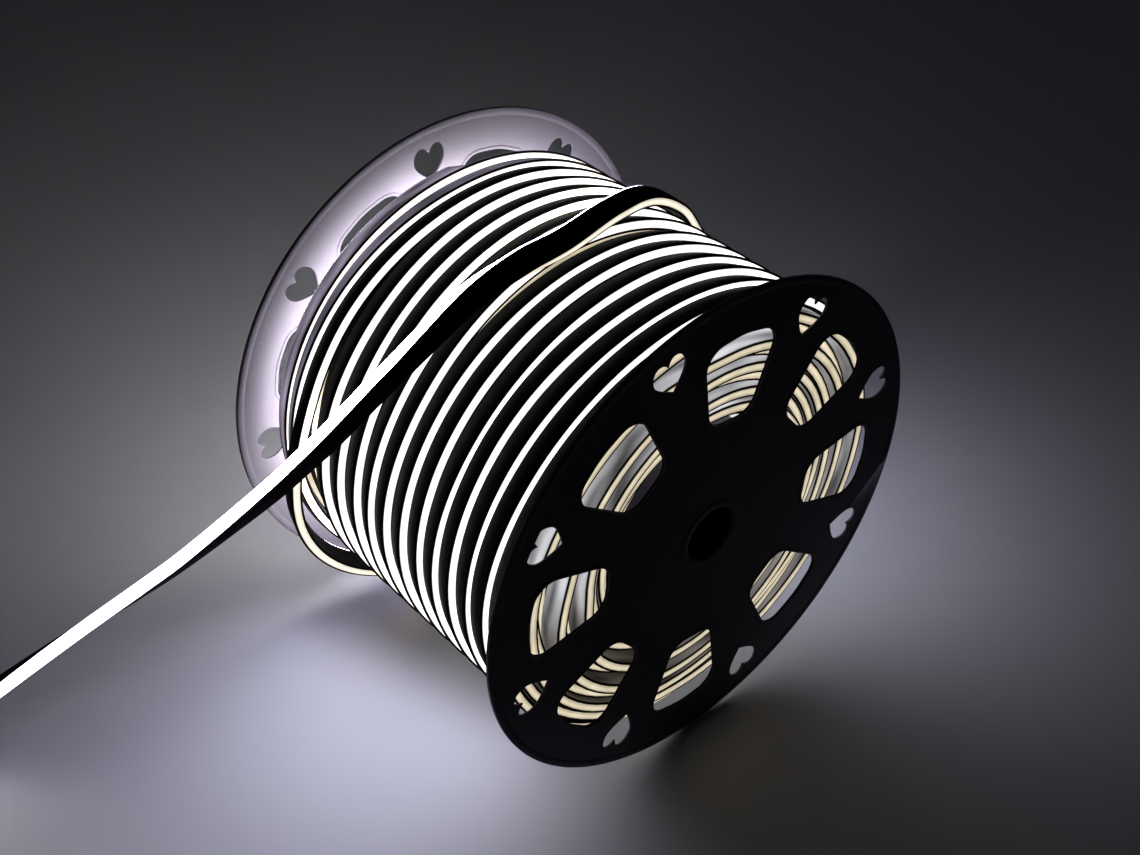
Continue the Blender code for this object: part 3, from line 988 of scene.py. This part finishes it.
    def build(self, tail_start: Station, materials: list[bpy.types.Material]) -> None:
        """Builds the wound flex as two pieces: the slack turn, and all the rest.

        Args:
            tail_start: the free end's first station.
            materials: the materials of the wall, the lit edge and the back edge.
        """
        last = 360.0 * (len(self.turns) - 1) + self.lead_in_at
        slack_from = 360.0 * (len(self.turns) - 1 - self.slack) - self.slack_cut
        slack_to = slack_from + 360.0
        lengths = [
            self.section.sweep("wound_flex", self.outer_stations(0.0, slack_from), materials),
            self.section.sweep("last_turns", self.outer_stations(slack_to, last), materials),
            self.section.sweep("lead_in", self.lead_in_stations(tail_start), materials),
            self.lower_layer(materials),
            self.core(materials),
        ]
        near, far = self.near_turns, self.far_turns
        for i, climb_at in enumerate(self.near_climbs[1:], 1):
            lengths.append(self.end_run(f"near_end_{i}", Side.NEAR, 2 * i, climb_at, (near, near), materials))
        for i, climb_at in enumerate(self.far_climbs[1:], 1):
            below = 0.0 if 2 * i + 2 == self.layers else far
            lengths.append(self.end_run(f"far_end_{i}", Side.FAR, 2 * i + 1, climb_at, (below, far), materials))
        wound = join_pieces(lengths)
        settle(wound, "flex_wall", "flex_winding")
        slack = self.section.sweep("slack_turn", self.outer_stations(slack_from, slack_to), materials)
        settle(slack, "flex_wall", "loose_turn")


def join_pieces(pieces: list[bpy.types.Object]) -> bpy.types.Object:
    """Joins pieces that have the same materials into the first of them.

    Args:
        pieces: the pieces, the first of which keeps its name.

    Returns:
        The joined piece.
    """
    maker = bmesh.new()
    for piece in pieces:
        maker.from_mesh(piece.data)
    maker.to_mesh(pieces[0].data)
    maker.free()
    for piece in pieces[1:]:
        bpy.data.objects.remove(piece)
    return pieces[0]


@dataclass(frozen=True)
class FreeEnd:
    """The free end of the flex, from the back of the drum over the top and down to the floor,
    and the cap on it."""

    section: FlexSection
    width: float = 16 * MM
    stations_wanted: int = 184
    cap_length: float = 14 * MM
    cap_wall: float = 0.9 * MM
    cap_gap: float = 0.3 * MM
    # x, y and z of the middle of the strip in mm, and the direction that its lit edge looks
    # in, in degrees from +X towards up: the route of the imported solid.
    route: tuple[tuple[float, float, float, float], ...] = (
        (-35.0, 140.3, 256.0, 180), (-27.0, 114.6, 289.6, 180), (-13.0, 73.6, 319.6, 180),
        (4.0, 28.0, 335.6, 176), (13.5, -18.0, 337.8, 162), (9.5, -47.6, 333.6, 142),
        (3.3, -78.8, 322.0, 118), (-2.0, -106.6, 303.6, 106), (-8.6, -124.6, 286.8, 100),
        (-17.1, -140.6, 268.8, 99), (-32.7, -162.6, 238.2, 98), (-44.3, -178.1, 217.9, 93),
        (-56.3, -194.7, 197.5, 89), (-74.3, -221.5, 169.2, 77), (-89.0, -248.0, 146.0, 67),
        (-101.0, -271.6, 128.9, 61), (-119.0, -305.0, 104.5, 52), (-137.0, -340.0, 79.0, 40),
        (-155.0, -376.0, 53.0, 26), (-172.0, -412.0, 30.0, 12), (-188.0, -449.0, 13.5, 3),
        (-203.0, -488.0, 5.4, 0), (-217.0, -528.0, 4.5, 0), (-229.0, -566.0, 4.5, 0),
    )

    def read(self, column: int, position: float) -> float:
        """One column of the route, read smoothly at a position along it.

        Args:
            column: 0 to 3, for x, y, z and the lit edge's direction.
            position: the row's number, and a part of the way to the next one.

        Returns:
            The value, in the column's own unit.
        """
        last = len(self.route) - 1
        i = min(int(position), last - 1)
        t = position - i
        p1, p2 = self.route[i][column], self.route[i + 1][column]
        p0 = self.route[i - 1][column] if i else 2 * p1 - p2
        p3 = self.route[i + 2][column] if i + 2 <= last else 2 * p2 - p1
        return (
            p1 * (2 * t**3 - 3 * t**2 + 1) + (p2 - p0) / 2 * (t**3 - 2 * t**2 + t)
            + p2 * (3 * t**2 - 2 * t**3) + (p3 - p1) / 2 * (t**3 - t**2)
        )

    def point(self, position: float) -> Vector:
        """The middle of the strip at a position along the route, in metres."""
        return Vector([self.read(column, position) * MM for column in range(3)])

    def stations(self) -> list[Station]:
        """The stations of the free end, from the drum to the cap.

        Returns:
            The stations.
        """
        last = len(self.route) - 1
        made: list[Station] = []
        run = 0.0
        for i in range(self.stations_wanted):
            position = last * i / (self.stations_wanted - 1)
            middle = self.point(position)
            along = self.point(min(position + 0.02, last)) - self.point(max(position - 0.02, 0.0))
            along.normalize()
            level = (Vector((1.0, 0.0, 0.0)) - along * along.x).normalized()
            rising = along.cross(level)
            angle = math.radians(self.read(3, position))
            to_lit = level * math.cos(angle) + rising * math.sin(angle)
            if made:
                run += (middle - made[-1].middle).length
            made.append(Station(
                middle, to_lit, along.cross(to_lit), self.width, run, self.section.free_light, True,
            ))
        return made

    def cap(self, end: Station, along: Vector, material: bpy.types.Material) -> bpy.types.Object:
        """The cap pushed over the end: a soft box with a lip and a rounded face.

        Args:
            end: the last station of the flex.
            along: the direction that the flex runs in there.
            material: the cap's material.

        Returns:
            The cap.
        """
        shell = FlexSection(
            thickness=self.section.thickness + self.cap_wall, corner=1.2 * MM, back_wall=1.5 * MM, corner_steps=3,
        )
        rings = (
            (0.0, 0.6), (0.25 * MM, 0.15), (0.8 * MM, 0.0), (2.6 * MM, 0.0), (3.0 * MM, 0.35), (3.5 * MM, 0.4),
            (12.6 * MM, 0.4), (13.4 * MM, 0.65), (13.8 * MM, 1.2), (self.cap_length, 2.0),
        )
        maker = bmesh.new()
        loops = []
        for far, inset in rings:
            middle = end.middle + along * (self.cap_gap + far)
            wide = self.width + 2 * self.cap_wall
            shrink_u = 1 - 2 * inset * MM / wide
            shrink_v = 1 - 2 * inset * MM / shell.thickness
            loops.append([
                maker.verts.new(middle + end.to_lit * (u * shrink_u) + end.outwards * (v * shrink_v))
                for u, v, _ in shell.outline(wide)
            ])
        bridge(maker, loops)
        maker.faces.new(loops[0])
        maker.faces.new(loops[-1])
        return make_piece("end_cap", maker, [material])

    def build(self, materials: list[bpy.types.Material], cap_material: bpy.types.Material) -> Station:
        """Args:
            materials: the materials of the wall, the lit edge and the back edge.
            cap_material: the cap's material.

        Returns:
            The first station, where the flex leaves the drum.
        """
        stations = self.stations()
        tail = self.section.sweep("free_end", stations, materials)
        along = (stations[-1].middle - stations[-2].middle).normalized()
        cap = settle(self.cap(stations[-1], along, cap_material), "cap_plastic", "tail_end_cap")
        settle(tail, "flex_wall", "flex_tail")
        LOG.info("free end: %.3f m", stations[-1].run)
        return stations[0]


@dataclass(frozen=True)
class Flange:
    """One pierced flange: a thin plate with a raised rim, a raised edge round each petal hole,
    and a boss round the spindle hole."""

    side: Side
    first_petal: float
    radius: float = 175 * MM
    axle_height: float = 175 * MM
    middle_x: float = 130.05 * MM
    thickness: float = 2.5 * MM
    plate: float = 1.7 * MM
    spindle_hole: float = 19 * MM
    holes: int = 8
    petal_inner: float = 83 * MM
    petal_outer: float = 148.8 * MM
    petal_crown: float = 5.3 * MM
    petal_inner_half: float = 19 * MM
    petal_outer_half: float = 34 * MM
    petal_fillet: float = 16 * MM
    heart_centre: float = 149.5 * MM
    heart_width: float = 24.5 * MM
    heart_length: float = 26 * MM
    rim_width: float = 5.2 * MM
    petal_edge: float = 2.6 * MM
    rim_steps: int = 192
    hub_steps: int = 72

    def circle(self, radius: float, steps: int) -> Outline:
        """A ring of points.

        Args:
            radius: its radius.
            steps: the number of points.

        Returns:
            The ring.
        """
        return [
            (radius * math.sin(2 * math.pi * i / steps), radius * math.cos(2 * math.pi * i / steps))
            for i in range(steps)
        ]

    def rounded(self, corners: list[tuple[float, float, float]], steps: int = 8) -> Outline:
        """An outline with its corners rounded.

        Args:
            corners: (u, v, radius) of each corner.
            steps: points along each rounding.

        Returns:
            The outline.
        """
        points: Outline = []
        for i, (u, v, radius) in enumerate(corners):
            corner = Vector((u, v))
            back = (Vector(corners[i - 1][:2]) - corner).normalized()
            on = (Vector(corners[(i + 1) % len(corners)][:2]) - corner).normalized()
            half = back.angle(on) / 2
            centre = corner + (back + on).normalized() * radius / math.sin(half)
            start = corner + back * radius / math.tan(half) - centre
            end = corner + on * radius / math.tan(half) - centre
            turn = start.angle(end)
            for k in range(steps + 1):
                a, b = math.sin((1 - k / steps) * turn), math.sin(k / steps * turn)
                place = centre + (start * a + end * b) / math.sin(turn)
                points.append((place.x, place.y))
        return points

    def petal(self) -> Outline:
        """One petal hole, pointing up from the axle line.

        Returns:
            Its outline.
        """
        corner_radius = self.petal_outer - self.petal_crown
        return self.rounded([
            (-self.petal_inner_half, self.petal_inner, self.petal_fillet),
            (self.petal_inner_half, self.petal_inner, self.petal_fillet),
            (self.petal_outer_half, corner_radius, self.petal_fillet),
            (0.0, self.petal_outer, 3 * self.petal_fillet),
            (-self.petal_outer_half, corner_radius, self.petal_fillet),
        ])

    def heart(self, steps: int = 12) -> Outline:
        """One heart hole, its lobes outwards and its tip towards the axle line.

        Args:
            steps: points along each of its four curves.

        Returns:
            Its outline.
        """
        half, length = self.heart_width / 2, self.heart_length
        notch, tip = Vector((0.0, 0.27 * length)), Vector((0.0, -0.52 * length))
        side = Vector((half, 0.12 * length))
        lobe = (notch, Vector((0.3 * half, 0.6 * length)), Vector((half, 0.48 * length)), side)
        flank = (side, Vector((half, -0.12 * length)), Vector((0.3 * half, -0.38 * length)), tip)
        right = []
        for a, b, c, d in (lobe, flank):
            for i in range(steps):
                t = i / steps
                s = 1 - t
                right.append(a * s**3 + b * 3 * s * s * t + c * 3 * s * t * t + d * t**3)
        right.append(tip)
        left = [Vector((-p.x, p.y)) for p in reversed(right[1:-1])]
        return [(p.x, p.y + self.heart_centre) for p in right + left]

    def turned(self, outline: Outline, degrees: float) -> Outline:
        """The outline turned from up towards +Y."""
        c, s = math.cos(math.radians(degrees)), math.sin(math.radians(degrees))
        return [(x * c + y * s, y * c - x * s) for x, y in outline]

    def shifted(self, outline: Outline, inset: float) -> Outline:
        """The outline moved into the plate.

        Args:
            outline: the points, in order.
            inset: how far each side moves to its left, seen along the outline.

        Returns:
            The moved outline.
        """
        moved = []
        count = len(outline)
        for i, point in enumerate(outline):
            here = Vector(point)
            back = (here - Vector(outline[i - 1])).normalized()
            on = (Vector(outline[(i + 1) % count]) - here).normalized()
            left = Vector((-(back + on).y, (back + on).x)).normalized()
            stretch = 1 / max(0.45, left.dot(Vector((-on.y, on.x))))
            place = here + left * inset * stretch
            moved.append((place.x, place.y))
        return moved

    def lip(self, width: float) -> tuple[tuple[float, float], ...]:
        """The profile of a raised edge.

        Args:
            width: how wide the raised edge is, with its slope down to the plate.

        Returns:
            (inset, height) from the plate to the middle of the edge.
        """
        plate, full = self.plate / 2, self.thickness / 2
        return (
            (width, plate), (width - 0.5 * MM, full), (0.5 * MM, full), (0.12 * MM, full - 0.15 * MM),
            (0.0, full - 0.5 * MM),
        )

    def edge_loops(
        self, maker: bmesh.types.BMesh, outline: Outline, profile: tuple[tuple[float, float], ...]
    ) -> tuple[list, list]:
        """One edge of the plate, from its inner face round to its outer face.

        Args:
            maker: the plate's bmesh.
            outline: the edge, with the plate on its left.
            profile: (inset, height) from the outer face's fill to the middle of the edge.

        Returns:
            The vertices that the outer and the inner fill join on to.
        """
        both = [(inset, height) for inset, height in profile]
        both += [(inset, -height) for inset, height in reversed(profile)]
        loops = []
        for inset, height in both:
            loops.append([maker.verts.new((height, u, v)) for u, v in self.shifted(outline, inset)])
        bridge(maker, loops)
        return loops[0], loops[-1]

    def build(self, material: bpy.types.Material) -> bpy.types.Object:
        """Builds the flange.

        Args:
            material: the reel's plastic.

        Returns:
            The flange.
        """
        maker = bmesh.new()
        plate, full = self.plate / 2, self.thickness / 2
        rim, raised = self.lip(self.rim_width), self.lip(self.petal_edge)
        plain = ((0.35 * MM, plate), (0.1 * MM, plate - 0.1 * MM), (0.0, plate - 0.35 * MM))
        boss = ((6.5 * MM, plate), (5.8 * MM, full), (0.6 * MM, full), (0.0, full - 0.6 * MM))
        edges = [self.edge_loops(maker, list(reversed(self.circle(self.radius, self.rim_steps))), rim)]
        edges.append(self.edge_loops(maker, self.circle(self.spindle_hole, self.hub_steps), boss))
        spacing = 360 / self.holes
        for i in range(self.holes):
            petal = self.turned(self.petal(), self.first_petal + i * spacing)
            heart = self.turned(self.heart(), self.first_petal + (i + 0.5) * spacing)
            edges.append(self.edge_loops(maker, petal, raised))
            edges.append(self.edge_loops(maker, heart, plain))
        for face_number in (0, 1):
            border = []
            for pair in edges:
                loop = pair[face_number]
                border += [maker.edges.get((loop[i], loop[(i + 1) % len(loop)])) for i in range(len(loop))]
            bmesh.ops.triangle_fill(
                maker, edges=border, use_beauty=True, use_dissolve=False,
                normal=(1.0 if face_number == 0 else -1.0, 0.0, 0.0),
            )
        name = f"{self.side.name.lower()}_flange_plate"
        flange = make_piece(name, maker, [material])
        for vertex in flange.data.vertices:
            vertex.co += Vector((self.side.value * self.middle_x, 0.0, self.axle_height))
        return settle(flange, "reel_plastic", f"{self.side.name.lower()}_flange")


@dataclass(frozen=True)
class SoftBox:
    """One soft square lamp, which the camera doesn't see: where it hangs, its side, its power in
    watts, its colour as hex and the place that it looks at."""

    name: str
    at: tuple[float, float, float]
    size: float
    power: float
    colour: str
    aim: tuple[float, float, float] = (0.0, 0.0, 0.15)

    def hang(self) -> None:
        """Adds the lamp to the scene."""
        data = bpy.data.lights.new(self.name, "AREA")
        data.shape, data.size, data.energy = "SQUARE", self.size, self.power
        data.color = linear(self.colour)[:3]
        lamp = bpy.data.objects.new(self.name, data)
        lamp.location = self.at
        lamp.rotation_mode = "QUATERNION"
        lamp.rotation_quaternion = (Vector(self.aim) - Vector(self.at)).to_track_quat("-Z", "Y")
        lamp.visible_camera = False
        bpy.context.scene.collection.objects.link(lamp)


@dataclass(frozen=True)
class Studio:
    """The camera where the photograph was taken from, a pale floor and soft, dimmed light, so
    that the flex's own light leads. The two low boxes add to its glow on the floor."""

    camera_at: tuple[float, float, float] = (0.6153, -0.5332, 0.8583)
    back: tuple[float, float, float] = (0.58024, -0.50177, 0.64155)
    lens: float = 50.67
    sensor: float = 36.0
    floor_size: float = 6.0
    floor_drop: float = 0.2 * MM
    sky_colour: str = "#c8ccdc"
    sky_strength: float = 0.003
    boxes: tuple[SoftBox, ...] = (
        SoftBox("overhead", (-0.6, 0.5, 2.0), 1.6, 0.6, "#f2f4ff"),
        SoftBox("fill", (1.6, -1.4, 1.4), 1.2, 0.1, "#fff6ec"),
        SoftBox("glow_in_front", (0.0, -0.2, 0.11), 0.22, 0.22, "#ecebff", (0.03, -0.3, 0.0)),
        SoftBox("glow_behind", (0.04, 0.2, 0.12), 0.22, 0.12, "#ecebff", (0.1, 0.3, 0.0)),
    )

    def camera(self) -> None:
        """Makes the scene's camera."""
        data = bpy.data.cameras.new("camera")
        data.lens, data.sensor_width = self.lens, self.sensor
        data.clip_start, data.clip_end = 0.01, 50.0
        camera = bpy.data.objects.new("camera", data)
        camera.location = self.camera_at
        camera.rotation_mode = "QUATERNION"
        camera.rotation_quaternion = (-Vector(self.back)).to_track_quat("-Z", "Y")
        bpy.context.scene.collection.objects.link(camera)
        bpy.context.scene.camera = camera

    def build(self, paper: bpy.types.Material) -> None:
        """Lays the floor and hangs the lights.

        Args:
            paper: the floor's material.
        """
        maker = bmesh.new()
        half = self.floor_size / 2
        corners = ((-half, -half), (half, -half), (half, half), (-half, half))
        maker.faces.new([maker.verts.new((x, y, -self.floor_drop)) for x, y in corners])
        floor = make_piece("floor", maker, [paper])
        for box in self.boxes:
            box.hang()
        world = bpy.data.worlds.new("studio")
        world.use_nodes = True
        sky = world.node_tree.nodes["Background"]
        sky.inputs[0].default_value = linear(self.sky_colour)
        sky.inputs[1].default_value = self.sky_strength
        bpy.context.scene.world = world
        bpy.context.scene.view_settings.view_transform = "Standard"


def main() -> None:
    """Builds the studio, the flex and the reel, in that order."""
    logging.basicConfig(level=logging.INFO, format="%(name)s: %(message)s")
    studio = Studio()
    studio.camera()

    # Extruded silicone jacket: near black and matt, so that the lit edges stand out beside it.
    wall = BlackSilicone("black_silicone_jacket", "#040405", 0.7, 1.41, 0.05).material()
    # Translucent silicone window over the diodes: reads as a solid white line of light.
    lit = LitSilicone("lit_silicone_window", "#f5f3ee", 0.45, 1.41).material()
    # The same silicone at the back edge: cream by its own glow, white where light passes into it.
    back = BackSilicone("milky_silicone_back", "#e9dcc0", 0.5, 1.41).material()
    # Moulded high-impact polystyrene of the reel: dark and nearly matt, with a fine grain. It reads
    # black where it shades itself, and lilac-grey where the flex shines on it.
    plastic = MouldedPlastic("dark_polystyrene_reel", "#514c57", 0.62, 1.59, 0.25).material()
    # Soft vinyl end cap: cloudy white with the flex's light in it.
    vinyl = MilkyVinyl("milky_vinyl_cap", "#ebe6da", 0.4, 1.53).material()
    # Pale paper sweep: a plain ground that takes the reel's light.
    paper = StudioPaper("pale_studio_paper", "#d9dae2", 0.9, 1.5).material()

    flex_materials = [wall, lit, back]
    section = FlexSection()
    tail_start = FreeEnd(section).build(flex_materials, vinyl)
    WoundFlex(section).build(tail_start, flex_materials)
    Flange(Side.NEAR, 6.4).build(plastic)
    Flange(Side.FAR, 19.0).build(plastic)
    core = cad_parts["core_tube"]
    core.data.materials.clear()
    core.data.materials.append(plastic)
    LOG.info("core_tube: kept from the pack")
    studio.build(paper)


if __name__ == "__main__":
    main()
